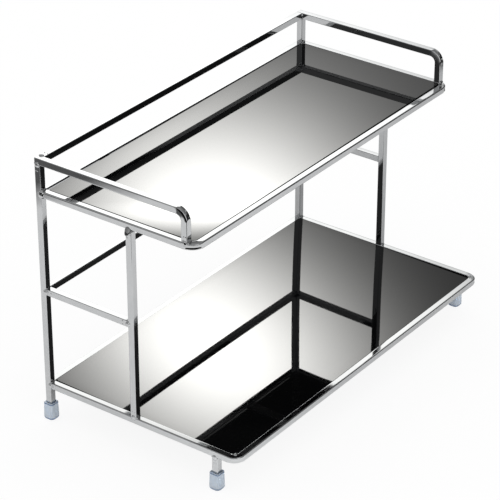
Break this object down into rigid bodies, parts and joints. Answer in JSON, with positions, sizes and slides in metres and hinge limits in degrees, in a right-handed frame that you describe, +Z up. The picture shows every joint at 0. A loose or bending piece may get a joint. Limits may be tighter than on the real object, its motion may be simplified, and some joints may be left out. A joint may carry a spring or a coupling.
{
  "type": "two-tier storage rack",
  "caption": "Free-standing two-tier rack of welded square bar, with drop-in glass shelves, a guard rail round the upper tier and capped feet.",
  "frame": {"origin": "middle of the rack's outline, on the surface that it stands on", "axes": "+X along the rack's width, to the right seen from the front; +Y to the back, where the guard rail is; +Z up"},
  "size_m": [0.4038, 0.2198, 0.268],
  "materials": {
    "chrome_bar": "bright chrome plate",
    "black_glass": "polished opaque black",
    "strip_coat": "matt black coat",
    "foot_plastic": "translucent, pale blue-grey"
  },
  "bodies": {
    "frame": {"left_rear_post": "chrome_bar", "right_rear_post": "chrome_bar", "left_front_post": "chrome_bar", "right_front_post": "chrome_bar", "left_front_leg": "chrome_bar", "right_front_leg": "chrome_bar", "lower_ring_bar": "chrome_bar", "lower_rear_bar": "chrome_bar", "lower_left_support_strip": "strip_coat", "lower_right_support_strip": "strip_coat", "upper_ring_bar": "chrome_bar", "upper_rear_bar": "chrome_bar", "upper_left_support_strip": "strip_coat", "upper_right_support_strip": "strip_coat", "left_middle_bar": "chrome_bar", "right_middle_bar": "chrome_bar", "back_middle_bar": "chrome_bar", "left_guard_rail": "chrome_bar", "right_guard_rail": "chrome_bar", "back_guard_rail": "chrome_bar", "left_rear_foot_cap": "foot_plastic", "right_rear_foot_cap": "foot_plastic", "left_front_foot_cap": "foot_plastic", "right_front_foot_cap": "foot_plastic"},
    "upper_panel": {"upper_glass_panel": "black_glass"},
    "lower_panel": {"lower_glass_panel": "black_glass"}
  },
  "joints": [
    {"name": "upper_panel_lift", "type": "slide", "parent": "frame", "child": "upper_panel", "axis": [0, 0, 1], "range_m": [0, 0.045]},
    {"name": "lower_panel_lift", "type": "slide", "parent": "frame", "child": "lower_panel", "axis": [0, 0, 1], "range_m": [0, 0.085]}
  ]
}
